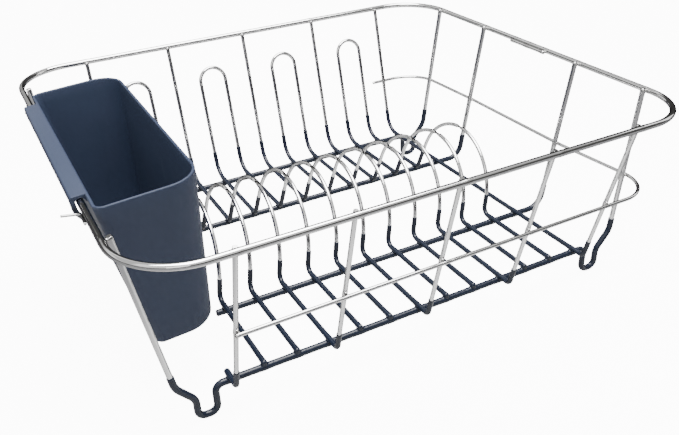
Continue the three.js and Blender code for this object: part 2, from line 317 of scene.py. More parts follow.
@dataclass(frozen=True)
class DippedVinyl:
    """Thick glossy vinyl, with the slight orange peel of a hot dip."""

    colour: Colour = (0.007, 0.011, 0.022)
    pooled: Colour = (0.005, 0.008, 0.016)
    roughness: float = 0.22
    peel_depth: float = 0.00005

    def material(self) -> bpy.types.Material:
        """Builds the material.

        Returns:
            The material.
        """
        s = Surface("dipped_vinyl")
        cloud = s.noise(45.0, 3.0)
        peel = s.noise(520.0, 2.0)
        pores = s.noise(2600.0, 1.0)
        pooled = cloud.ramp(0.35, 0.7)
        scuff = s.noise(150.0, 5.0, (1.0, 1.0, 3.0)).ramp(0.62, 0.72)
        colour = s.mix(pooled * 0.7, self.colour, self.pooled)
        rough = self.roughness + cloud * 0.08 + scuff * 0.12 + pores * 0.03
        normal = s.bump(peel, self.peel_depth)
        fine = s.bump(pores, self.peel_depth * 0.15, normal)
        return s.finish(
            Base_Color=colour, Roughness=rough, Normal=fine, Coat_Weight=0.08, Coat_Roughness=0.12, IOR=1.36
        )


@dataclass(frozen=True)
class MouldedPlastic:
    """Satin polypropylene with a spark-eroded grain and faint flow marks, and an inside painted lighter as painted
    light from above, with rubbed scuffs in it.
    """

    colour: Colour = (0.0225, 0.0315, 0.0590)
    flow: Colour = (0.0250, 0.0345, 0.0640)
    # A lighter tone for the tub's inside: painted light standing in for light from above, mixed with rubbed scuffs.
    painted_inside_light_and_scuff: Colour = (0.0265, 0.0375, 0.0690)
    roughness: float = 0.50
    grain_depth: float = 0.000035
    sink_depth: float = 0.0004

    def material(self) -> bpy.types.Material:
        """Builds the material.

        Returns:
            The material.
        """
        s = Surface("moulded_plastic")
        grain = s.noise(3200.0, 2.0)
        cell = s.add("ShaderNodeTexVoronoi", {"Vector": s.place, "Scale": 2300.0}, output="Distance")
        flow = s.noise(22.0, 4.0, (1.0, 0.5, 0.25))
        rub = s.noise(300.0, 4.0, (1.0, 1.0, 0.12)).ramp(0.6, 0.75)
        inside = s.attribute("inside")
        wall = s.mix(flow.ramp(0.35, 0.7) * 0.6, self.colour, self.flow)
        # The inside faces are painted lighter as painted light, with rubbed scuff streaks varying it.
        colour = s.mix(inside * (0.75 + 0.25 * rub), wall, self.painted_inside_light_and_scuff)
        rough = self.roughness + grain * 0.06 - rub * 0.06 + flow * 0.04
        normal = s.bump(grain * 0.6 + cell * 0.4, self.grain_depth)
        sink = s.bump(s.noise(28.0, 1.0), self.sink_depth, normal)
        return s.finish(Base_Color=colour, Roughness=rough, Normal=sink, IOR=1.38)


@dataclass(frozen=True)
class PaleFloor:
    """A plain white sweep, which plating reflects as the dim room round a light tent."""

    colour: Colour = (0.38, 0.38, 0.38)
    reflected: Colour = (0.12, 0.12, 0.125)
    glow: float = 11.0
    near: float = 0.22  # metres from the middle, up to where plating sees it lit
    far: float = 0.40  # and from where plating sees it dim
    near_glow: float = 0.0145
    fibre_depth: float = 0.00002

    def material(self) -> bpy.types.Material:
        """Builds the material.

        Returns:
            The material.
        """
        s = Surface("pale_floor")
        seen = s.add("ShaderNodeLightPath", output="Is Camera Ray")
        mirrored = s.add("ShaderNodeLightPath", output="Is Glossy Ray")
        away = s.add("ShaderNodeVectorMath", {0: s.place}, output="Value", operation="LENGTH")
        far = mirrored * away.ramp(self.near, self.far)
        lit = seen + (mirrored - far) * self.near_glow
        fibre = s.noise(700.0, 2.0)
        colour = s.mix(far, self.colour, self.reflected)
        return s.finish(
            Base_Color=colour,
            Roughness=0.72 + fibre * 0.1,
            Normal=s.bump(fibre, self.fibre_depth),
            Emission_Color=s.mix(lit, (0, 0, 0), (1, 1, 1)),
            Emission_Strength=self.glow,
        )


# ---------------------------------------------------------------- meshes


def new_object(name: str, mesh: bpy.types.Mesh) -> bpy.types.Object:
    """Links a new object at the origin.

    Args:
        name: The object's name.
        mesh: Its mesh.

    Returns:
        The object.
    """
    made = bpy.data.objects.new(name, mesh)
    bpy.context.scene.collection.objects.link(made)
    return made


def discard(*objects: bpy.types.Object) -> None:
    """Removes helper objects."""
    for helper in objects:
        bpy.data.objects.remove(helper)


def bake(source: bpy.types.Object) -> bpy.types.Object:
    """Replaces the object's mesh by its evaluated one and drops its modifiers.

    Args:
        source: The object, with live modifiers.

    Returns:
        The same object.
    """
    depsgraph = bpy.context.evaluated_depsgraph_get()
    mesh = bpy.data.meshes.new_from_object(
        source.evaluated_get(depsgraph), preserve_all_data_layers=True, depsgraph=depsgraph
    )
    source.modifiers.clear()
    source.data = mesh
    return source


def points_object(name: str, points: Iterable[Vector]) -> bpy.types.Object:
    """A mesh of loose vertices.

    Args:
        name: The object's name.
        points: The places, in metres.

    Returns:
        The object.
    """
    mesh = bpy.data.meshes.new(name)
    mesh.from_pydata([tuple(p) for p in points], [], [])
    return new_object(name, mesh)


def built_object(name: str, build: bmesh.types.BMesh) -> bpy.types.Object:
    """An object from a bmesh, which is freed.

    Args:
        name: The object's name.
        build: The finished bmesh.

    Returns:
        The object.
    """
    mesh = bpy.data.meshes.new(name)
    build.to_mesh(mesh)
    build.free()
    return new_object(name, mesh)


def slope(degrees: float) -> float:
    """Sideways run to a unit of fall, at a draft angle."""
    return math.tan(math.radians(degrees))


def arc(x: float, y: float, radius: float, start: float, end: float, steps: int) -> list[Flat]:
    """Points of an arc, between two angles in degrees."""
    angles = [math.radians(start + (end - start) * k / steps) for k in range(steps + 1)]
    return [(x + radius * math.cos(a), y + radius * math.sin(a)) for a in angles]


class GeometryTree(Graph):
    """A Geometry Nodes tree with named inputs, used as a modifier."""

    def __init__(self, name: str, inputs: dict[str, str]) -> None:
        """Makes the tree.

        Args:
            name: The tree's name.
            inputs: Socket type by input name. The first is always Geometry.
        """
        tree = bpy.data.node_groups.new(name, "GeometryNodeTree")
        super().__init__(tree)
        self.identifiers: dict[str, str] = {}
        tree.interface.new_socket("Geometry", in_out="INPUT", socket_type="NodeSocketGeometry")
        for label, kind in inputs.items():
            item = tree.interface.new_socket(label, in_out="INPUT", socket_type=kind)
            self.identifiers[label] = item.identifier
        tree.interface.new_socket("Geometry", in_out="OUTPUT", socket_type="NodeSocketGeometry")
        self.source = tree.nodes.new("NodeGroupInput")

    def input(self, label: str) -> Value:
        """One of the tree's inputs."""
        return Value(self, self.source.outputs[label])

    def close(self, geometry: Value, material: Value) -> None:
        """Ends the tree in realised, smooth geometry of one material.

        Args:
            geometry: What the tree made.
            material: The material to set on it.
        """
        real = self.add("GeometryNodeRealizeInstances", {"Geometry": geometry})
        smooth = self.add("GeometryNodeSetShadeSmooth", {"Geometry": real})
        surfaced = self.add("GeometryNodeSetMaterial", {"Geometry": smooth, "Material": material})
        self.add("NodeGroupOutput", {"Geometry": surfaced})

    def apply(self, source: bpy.types.Object, **values: object) -> bpy.types.Object:
        """Runs the tree on an object and leaves a plain mesh.

        Args:
            source: The object whose mesh the tree takes.
            values: Input values by name, with underscores for spaces.

        Returns:
            The same object.
        """
        modifier = source.modifiers.new(self.tree.name, "NODES")
        modifier.node_group = self.tree
        for name, value in values.items():
            modifier[self.identifiers[name.replace("_", " ")]] = value
        return bake(source)


class WireSweep(GeometryTree):
    """Sweeps a round section along a chain of points, and swells it beside the welds."""

    def __init__(self) -> None:
        """Builds the tree."""
        super().__init__(
            "wire_sweep",
            {
                "Radius": "NodeSocketFloat",
                "Sides": "NodeSocketInt",
                "Welds": "NodeSocketObject",
                "Weld Reach": "NodeSocketFloat",
                "Weld Swell": "NodeSocketFloat",
                "Material": "NodeSocketMaterial",
            },
        )
        welds = self.add("GeometryNodeObjectInfo", {"Object": self.input("Welds")}, output="Geometry")
        here = self.add("GeometryNodeInputPosition")
        distance = self.add(
            "GeometryNodeProximity",
            {"Geometry": welds, "Sample Position": here},
            output="Distance",
            target_element="POINTS",
        )
        near = 1.0 - (distance / self.input("Weld Reach")).ramp(0.0, 1.0)
        girth = self.add(
            "GeometryNodeInputNamedAttribute", {"Name": "girth"}, output="Attribute", data_type="FLOAT"
        )
        radius = girth * self.input("Radius") + near * self.input("Weld Swell")
        curve = self.add("GeometryNodeMeshToCurve", {"Mesh": self.input("Geometry")})
        length = self.add("GeometryNodeSplineParameter", output="Length")
        curve = self.store(curve, "along", length)
        curve = self.store(curve, "weld", near)
        circle = self.add("GeometryNodeCurvePrimitiveCircle", {"Resolution": self.input("Sides"), "Radius": 1.0})
        turn = self.add("GeometryNodeSplineParameter", output="Factor")
        circle = self.store(circle, "around", turn)
        swept = self.add(
            "GeometryNodeCurveToMesh",
            {"Curve": curve, "Profile Curve": circle, "Scale": radius, "Fill Caps": True},
        )
        self.close(swept, self.input("Material"))

    def store(self, geometry: Value, name: str, value: Value) -> Value:
        """Stores a number on each point.

        Args:
            geometry: The curve.
            name: The attribute's name.
            value: The number.

        Returns:
            The curve with the attribute.
        """
        return self.add(
            "GeometryNodeStoreNamedAttribute",
            {"Geometry": geometry, "Name": name, "Value": value},
            data_type="FLOAT",
            domain="POINT",
        )


class CopyToPoints(GeometryTree):
    """Puts a copy of an object's mesh at every point."""

    def __init__(self) -> None:
        """Builds the tree."""
        super().__init__("copy_to_points", {"Object": "NodeSocketObject", "Material": "NodeSocketMaterial"})
        template = self.add("GeometryNodeObjectInfo", {"Object": self.input("Object")}, output="Geometry")
        placed = self.add(
            "GeometryNodeInstanceOnPoints", {"Points": self.input("Geometry"), "Instance": template}
        )
        self.close(placed, self.input("Material"))


# ---------------------------------------------------------------- wire paths


@dataclass(frozen=True)
class Corner:
    """Where two straight runs of a wire would meet, and the radius that the bend takes."""

    at: Vector
    bend: float = 0.0


def corner(x: float, y: float, z: float, bend: float = 0.0) -> Corner:
    """A corner from millimetres."""
    return Corner(Vector((x, y, z)) * MM, bend * MM)


def straight(start: Vector, end: Vector, step: float) -> list[Vector]:
    """The points between start and end, without start, at most a step apart."""
    count = max(1, math.ceil((end - start).length / step))
    return [start.lerp(end, k / count) for k in range(1, count + 1)]


def bent_points(corners: Sequence[Corner], step: float = 0.002) -> list[Vector]:
    """The points of a wire that turns every corner on its bend radius.

    Args:
        corners: The corners, with the two ends first and last.
        step: The longest gap between two points on a straight run.

    Returns:
        The points, in order.
    """
    points = [corners[0].at.copy()]
    for before, here, after in zip(corners, corners[1:], corners[2:]):
        back = (before.at - here.at).normalized()
        ahead = (after.at - here.at).normalized()
        turn = math.pi - back.angle(ahead)
        cut = here.bend * math.tan(turn / 2)
        centre = here.at + (back + ahead).normalized() * (here.bend / math.cos(turn / 2))
        spoke = here.at + back * cut - centre
        axis = back.cross(spoke).normalized()
        arc_start = centre + spoke
        if (arc_start - points[-1]).length > 1e-6:
            points += straight(points[-1], arc_start, step)
        count = max(4, math.ceil(math.degrees(turn) / BEND_STEP))
        points += [centre + Quaternion(axis, turn * k / count) @ spoke for k in range(1, count + 1)]
    return points + straight(points[-1], corners[-1].at, step)


@dataclass(frozen=True)
class WireSizes:
    """The sizes of the welded wirework, in millimetres.

    Most are the solids' own. The rails stand a little higher here, because the steel of
    crossing wires touches under the vinyl, where the solids leave a gap.
    """

    rim_radius: float = 2.4
    frame_radius: float = 2.1
    frame_coat: float = 2.6
    cross_radius: float = 1.7
    cross_coat: float = 2.1
    guard_radius: float = 1.5
    spur_radius: float = 0.9
    splice_radius: float = 1.5
    weld_gap: float = 0.3
    pitch: float = 25.4
    last_wire: int = 12
    base_shift: float = 2.5
    front_frame_shift: float = 3.8
    rear_frame_shift: float = -2.5
    foot_setback: float = 19.4
    end_splay: float = 40.7
    rail_spread: float = 137.0
    side_splay: float = 50.0
    rim_corner: float = 46.0
    rail_height: float = 24.9
    guard_height: float = 84.5
    guard_rear_drop: float = 4.0
    rim_height: float = 156.0
    loop_top: float = 131.0
    leg_tip_rise: float = 2.4
    upright_tip_rise: float = 0.8
    dip_height: float = 47.5
    dip_rise: float = 0.018
    foot_half_width: float = 7.1
    foot_bend: float = 6.0
    shoulder_height: float = 19.0
    shoulder_run: float = 12.5
    shoulder_rise: float = 15.0
    shoulder_low_bend: float = 12.0
    shoulder_high_bend: float = 16.0
    rail_overhang: float = 29.1
    rail_nub: float = 0.8
    rail_bend: float = 15.0
    front_reach: float = 12.7
    front_bend: float = 5.0
    rear_reach: float = 15.8
    rear_bend: float = 18.0
    upright_nub: float = 5.8
    butt_reach: float = 1.5
    guard_corner_ease: float = 0.1
    guard_overrun: float = 11.5
    guard_bow: float = 200.0
    arch_radius: float = 51.0
    arch_top: float = 92.0
    arch_lean: float = 0.12
    plate_rail_setback: float = 11.5
    arch_rear_spread: float = 6.5
    arch_front_bend: float = 7.0
    arch_rear_bend: float = 4.0
    splice_length: float = 45.0
    splice_drop: float = 14.0
    spur_run: float = 14.0
    spur_offset: float = 97.5
    spur_middle: float = 3.0
    spur_bend: float = 4.0
    spur_end_run: float = 3.6
    front_spur_drop: float = 35.0
    front_spur_reach: float = 11.0
    rear_spur_drop: float = 70.0
    rear_spur_reach: float = 4.0
    splice_welds: tuple[int, ...] = (-20, 0, 20)
    splice_weld_drop: float = 0.6
    guard_weld_beside_upright: float = 1.2
    guard_weld_beside_leg: float = 1.4


@dataclass(frozen=True)
class Wire:
    """One bent wire: its CAD node, its corners and its radii in millimetres."""

    node: str
    corners: tuple[Corner, ...]
    radius: float
    coat: float = 0.0
    closed: bool = False


class WireLayout:
    """Where every wire of the rack runs, about the middle of the rim."""

    def __init__(self, sizes: WireSizes) -> None:
        """Works out what follows from the sizes.

        Args:
            sizes: The sizes to lay out.
        """
        s = self.sizes = sizes
        self.half_slots = s.last_wire / 2 * s.pitch
        self.foot_x = self.half_slots + s.foot_setback
        self.rim_x = self.foot_x + s.end_splay
        self.rim_y = s.rail_spread + s.side_splay
        self.cross_z = s.rail_height + s.frame_radius + s.cross_radius
        self.arch_foot = s.arch_radius + s.arch_rear_spread
        self.plate_y = s.arch_radius + s.plate_rail_setback
        self.leg_top = s.rim_height + s.leg_tip_rise
        self.upright_top = s.rim_height + s.upright_tip_rise
        self.leg_top_x = self.rim_x - self.beside(s.rim_radius + s.frame_radius, s.end_splay, s.rim_height)
        self.leg_foot_z = s.shoulder_height + s.shoulder_rise
        self.upright_y = self.rim_y - self.beside(s.rim_radius + s.cross_radius, s.side_splay, s.rim_height)
        self.upright_rise = s.rim_height - self.cross_z
        self.plate_turn = self.cross_x(s.last_wire) + s.rail_overhang

    def beside(self, radii: float, run: float, rise: float) -> float:
        """Sideways room between a leaning wire's axis and the level wire it is welded to."""
        return (radii + self.sizes.weld_gap) / math.cos(math.atan2(run, rise))

    def cross_x(self, i: int) -> float:
        """The X of cross wire i."""
        return self.sizes.base_shift - self.half_slots + i * self.sizes.pitch

    def leg_x(self, side: int, foot_x: float, foot_z: float, z: float) -> float:
        """The X of an end leg at a height, from its foot to the weld at the rim."""
        lean = (side * self.leg_top_x - foot_x) / (self.sizes.rim_height - foot_z)
        return foot_x + lean * (z - foot_z)

    def leg_foot(self, side: int, shift: float) -> float:
        """The X of an end leg's lower corner."""
        return shift + side * (self.foot_x + self.sizes.foot_half_width + self.sizes.shoulder_run)

    def upright_at(self, side: Side, z: float) -> float:
        """The Y of a front or rear upright at a height.

        Args:
            side: Which side of the rack.
            z: The height.

        Returns:
            Its Y.
        """
        s = self.sizes
        foot = -s.rail_spread - s.front_reach if side is Side.FRONT else s.rail_spread + s.rear_reach
        return foot + (side.value * self.upright_y - foot) * (z - self.cross_z) / self.upright_rise

    def frame_end(self, side: int, y: float, shift: float) -> list[Corner]:
        """One end of a frame wire, from the rim down to its rail.

        Args:
            side: -1 for the left end, 1 for the right.
            y: The wire's Y.
            shift: How far the wire is moved along X.

        Returns:
            The corners, from the rim inwards.
        """
        s = self.sizes
        inner = shift + side * (self.foot_x - s.foot_half_width)
        outer = shift + side * (self.foot_x + s.foot_half_width)
        foot = self.leg_foot(side, shift)
        floor = s.frame_coat
        return [
            corner(self.leg_x(side, foot, self.leg_foot_z, self.leg_top), y, self.leg_top),
            corner(foot, y, self.leg_foot_z, s.shoulder_high_bend),
            corner(outer, y, s.shoulder_height, s.shoulder_low_bend),
            corner(outer, y, floor, s.foot_bend),
            corner(inner, y, floor, s.foot_bend),
            corner(inner, y, s.rail_height, s.foot_bend),
        ]

    def frame_wire(self, node: str, y: float, shift: float) -> Wire:
        """A frame wire: two legs, two feet and a rail."""
        corners = self.frame_end(-1, y, shift) + self.frame_end(1, y, shift)[::-1]
        return Wire(node, tuple(corners), self.sizes.frame_radius, self.sizes.frame_coat)

    def plate_rail(self, node: str, y: float) -> Wire:
        """A plate rail, free at one end and bent up to the rim at the other.

        Args:
            node: The CAD node that it stands for.
            y: Its Y.

        Returns:
            The wire.
        """
        s = self.sizes
        end = self.leg_x(1, self.plate_turn, s.rail_height, self.leg_top)
        corners = (
            corner(self.cross_x(1) - s.rail_nub, y, s.rail_height),
            corner(self.plate_turn, y, s.rail_height, s.rail_bend),
            corner(end, y, self.leg_top),
        )
        return Wire(node, corners, s.frame_radius, s.frame_coat)

    def tip(self, x: float, side: Side) -> Corner:
        """The upper end of an upright."""
        return corner(x, self.upright_at(side, self.upright_top), self.upright_top)

    def front_corner(self, x: float) -> Corner:
        """Where an upright leaves the base at the front."""
        return corner(x, -self.sizes.rail_spread - self.sizes.front_reach, self.cross_z, self.sizes.front_bend)

    def rear_corner(self, x: float) -> Corner:
        """Where an upright leaves the base at the rear."""
        return corner(x, self.sizes.rail_spread + self.sizes.rear_reach, self.cross_z, self.sizes.rear_bend)

    def arch(self, x: float) -> list[Corner]:
        """A plate arch from its front foot to its rear foot.

        Args:
            x: The X of its feet.

        Returns:
            Its four corners.
        """
        s = self.sizes
        height = s.arch_top - self.cross_z
        top = x + s.arch_lean * height
        spring = s.arch_top - s.arch_radius - self.cross_z
        reach = math.hypot(self.arch_foot, spring)
        angle = math.asin(s.arch_radius / reach) + math.atan2(spring, self.arch_foot)
        rear = self.arch_foot - height / math.tan(angle)
        return [
            corner(x, -s.arch_radius, self.cross_z, s.arch_front_bend),
            corner(top, -s.arch_radius, s.arch_top, s.arch_radius),
            corner(top, rear, s.arch_top, s.arch_radius),
            corner(x, self.arch_foot, self.cross_z, s.arch_rear_bend),
        ]

    def cross_wire(self, node: str, corners: Iterable[Corner]) -> Wire:
        """A dipped cross wire."""
        return Wire(node, tuple(corners), self.sizes.cross_radius, self.sizes.cross_coat)

    def full_wire(self, node: str, i: int, arched: bool = True) -> Wire:
        """A cross wire with an upright at both ends.

        Args:
            node: The CAD node that it stands for.
            i: Its place in the row.
            arched: Whether it has an arch.

        Returns:
            The wire.
        """
        x = self.cross_x(i)
        middle = self.arch(x) if arched else []
        ends = self.tip(x, Side.FRONT), self.front_corner(x), self.rear_corner(x), self.tip(x, Side.REAR)
        return self.cross_wire(node, [*ends[:2], *middle, *ends[2:]])

    def looped_pair(self, node: str, first: int) -> Wire:
        """Two arches of one wire, joined in a tall loop at the back.

        Args:
            node: The CAD node that it stands for.
            first: The place in the row of the first arch.

        Returns:
            The wire.
        """
        s = self.sizes
        loop_y = self.upright_at(Side.REAR, s.loop_top)

        def half(x: float) -> list[Corner]:
            """One arch up to the middle of the loop."""
            start = corner(x, -s.rail_spread - s.butt_reach, self.cross_z)
            return [start, *self.arch(x), self.rear_corner(x), corner(x, loop_y, s.loop_top, s.pitch / 2)]

        return self.cross_wire(node, half(self.cross_x(first)) + half(self.cross_x(first + 1))[::-1])

    def short_upright(self, node: str, side: Side) -> Wire:
        """An upright at the caddy's end, hooked over its rail.

        Args:
            node: The CAD node that it stands for.
            side: Which side of the rack.

        Returns:
            The wire.
        """
        x = self.cross_x(0)
        turn = self.front_corner(x) if side is Side.FRONT else self.rear_corner(x)
        start = corner(x, side.value * (self.sizes.rail_spread - self.sizes.upright_nub), self.cross_z)
        return self.cross_wire(node, [start, turn, self.tip(x, side)])

    def rim(self) -> Wire:
        """The rim, closed.

        Returns:
            The wire.
        """
        s = self.sizes
        x, y, z = self.rim_x, self.rim_y, s.rim_height
        corners = [corner(x, 0, z)]
        corners += [corner(a * x, b * y, z, s.rim_corner) for a, b in ((1, 1), (-1, 1), (-1, -1), (1, -1))]
        return Wire("top_rim", (*corners, corner(x, 0, z)), s.rim_radius, closed=True)

    def splice(self) -> Wire:
        """The short bar along the inside of the rim's joint.

        Returns:
            The wire.
        """
        s = self.sizes
        apart = s.rim_radius + s.splice_radius
        drop = math.radians(s.splice_drop)
        x, z = self.rim_x - apart * math.cos(drop), s.rim_height - apart * math.sin(drop)
        half = s.splice_length / 2
        return Wire("rim_splice", (corner(x, -half, z), corner(x, half, z)), s.splice_radius)

    def guard(self) -> Wire:
        """The guard rail round the front, the right end and the rear corner.

        Returns:
            The wire.
        """
        s = self.sizes
        rear_z = s.guard_height - s.guard_rear_drop

        def out(side: Side, z: float) -> float:
            """The guard's Y outside an upright.

            Args:
                side: Which side of the rack.
                z: The height.

            Returns:
                The Y.
            """
            room = self.beside(
                s.cross_radius + s.guard_radius, self.upright_y - s.rail_spread, self.upright_rise
            )
            return self.upright_at(side, z) + side.value * room

        room = self.beside(s.frame_radius + s.guard_radius, s.end_splay, s.rim_height)
        at_plate = self.leg_x(1, self.plate_turn, s.rail_height, s.guard_height) + room

        def turn_x(y: float, z: float, shift: float) -> float:
            """The X of one of the two bends.

            Args:
                y: The bend's Y.
                z: The height.
                shift: The frame wire's shift on that side.

            Returns:
                The X.
            """
            leg = self.leg_x(1, self.leg_foot(1, shift), self.leg_foot_z, z) + room
            bow = (leg - at_plate) / (s.rail_spread - self.plate_y)
            return leg + bow * (abs(y) - s.rail_spread)

        def turn(y: float) -> float:
            """The bend radius that reaches from a corner to the frame wire's leg."""
            return abs(y) - s.rail_spread - s.guard_corner_ease

        front_y, rear_y = out(Side.FRONT, s.guard_height), out(Side.REAR, rear_z)
        corners = (
            corner(self.cross_x(0) - s.cross_radius, front_y, s.guard_height),
            corner(turn_x(front_y, s.guard_height, s.front_frame_shift), front_y, s.guard_height, turn(front_y)),
            corner(at_plate, -self.plate_y, s.guard_height, s.guard_bow),
            corner(at_plate, self.plate_y, s.guard_height, s.guard_bow),
            corner(turn_x(rear_y, rear_z, s.rear_frame_shift), rear_y, rear_z, turn(rear_y)),
            corner(self.cross_x(s.last_wire) - s.guard_overrun, rear_y, rear_z),
        )
        return Wire("guard_rail", corners, s.guard_radius)

    def spur(self, node: str, side: Side, drop: float, reach: float) -> Wire:
        """A stop wire on the rim beside the caddy's hook.

        Args:
            node: Its CAD node.
            side: Which end of the hook it stands at.
            drop: How far round and below the rim's outer side it is welded, in degrees.
            reach: How far its tip stands out.

        Returns:
            The wire.
        """
        s = self.sizes
        apart = s.rim_radius + s.spur_radius + s.weld_gap
        x = -self.rim_x - apart * math.cos(math.radians(drop))
        z = s.rim_height - apart * math.sin(math.radians(drop))
        bend_y = s.spur_middle + side.value * s.spur_offset
        corners = (
            corner(x, bend_y + side.value * s.spur_run, z),
            corner(x, bend_y, z, s.spur_bend),
            corner(x - reach, bend_y - side.value * s.spur_end_run, z),
        )
        return Wire(node, corners, s.spur_radius)

    def wires(self) -> list[Wire]:
        """Every wire of the rack.

        Returns:
            The wires.
        """
        s = self.sizes
        made = [
            self.rim(),
            self.splice(),
            self.frame_wire("front_frame_wire", -s.rail_spread, s.front_frame_shift),
            self.frame_wire("rear_frame_wire", s.rail_spread, s.rear_frame_shift),
            self.plate_rail("front_plate_rail", -self.plate_y),
            self.plate_rail("rear_plate_rail", self.plate_y),
            self.guard(),
            self.short_upright("front_left_upright", Side.FRONT),
            self.short_upright("rear_left_upright", Side.REAR),
            self.full_wire("end_cross_wire", s.last_wire, arched=False),
            self.spur("front_rim_spur", Side.FRONT, s.front_spur_drop, s.front_spur_reach),
            self.spur("rear_rim_spur", Side.REAR, s.rear_spur_drop, s.rear_spur_reach),
        ]
        made += [self.full_wire(f"arch_wire_{i}", i) for i in (3, 6, 9)]
        made += [self.looped_pair(f"looped_arch_wire_{i}_{i + 1}", i) for i in (1, 4, 7, 10)]
        return made

    def rim_welds(self) -> list[Vector]:
        """Where the uprights, legs, risers and spurs meet the rim.

        Returns:
            The places, in metres.
        """
        s = self.sizes
        welds = [
            Vector((self.cross_x(i), side * (self.upright_y + self.rim_y) / 2, s.rim_height))
            for i in UPRIGHT_WIRES
            for side in (-1, 1)
        ]
        ends = [(1, -self.plate_y), (1, self.plate_y)]
        ends += [(a, b * s.rail_spread) for a in (-1, 1) for b in (-1, 1)]
        welds += [Vector((a * (self.leg_top_x + self.rim_x) / 2, y, s.rim_height)) for a, y in ends]
        splice_z = s.rim_height - s.splice_weld_drop
        welds += [Vector((self.rim_x - s.rim_radius, y, splice_z)) for y in s.splice_welds]
        return [w * MM for w in welds]

    def guard_welds(self) -> list[Vector]:
        """Where the guard rail meets the uprights and the legs.

        Returns:
            The places, in metres.
        """
        s = self.sizes
        z = s.guard_height
        front_y = self.upright_at(Side.FRONT, z) - s.guard_weld_beside_upright
        welds = [Vector((self.cross_x(i), front_y, z)) for i in UPRIGHT_WIRES]
        rear_z = z - s.guard_rear_drop
        rear_y = self.upright_at(Side.REAR, rear_z) + s.guard_weld_beside_upright
        welds.append(Vector((self.cross_x(s.last_wire), rear_y, rear_z)))
        plate_x = self.leg_x(1, self.plate_turn, s.rail_height, z) + s.guard_weld_beside_leg
        welds += [Vector((plate_x, side * self.plate_y, z)) for side in (-1, 1)]
        front_leg = self.leg_x(1, self.leg_foot(1, s.front_frame_shift), self.leg_foot_z, z)
        welds.append(Vector((front_leg + s.guard_weld_beside_leg, -s.rail_spread, z)))
        return [w * MM for w in welds]


# ---------------------------------------------------------------- the wirework


@dataclass(frozen=True)
class Crossings:
    """A row of crossings that share a shape: cross wires on one rail.

    front and back are how far the vinyl is drawn along the cross wire, in millimetres.
    """

    name: str
    rail: str
    y: float
    wires: tuple[int, ...]
    front: float
    back: float


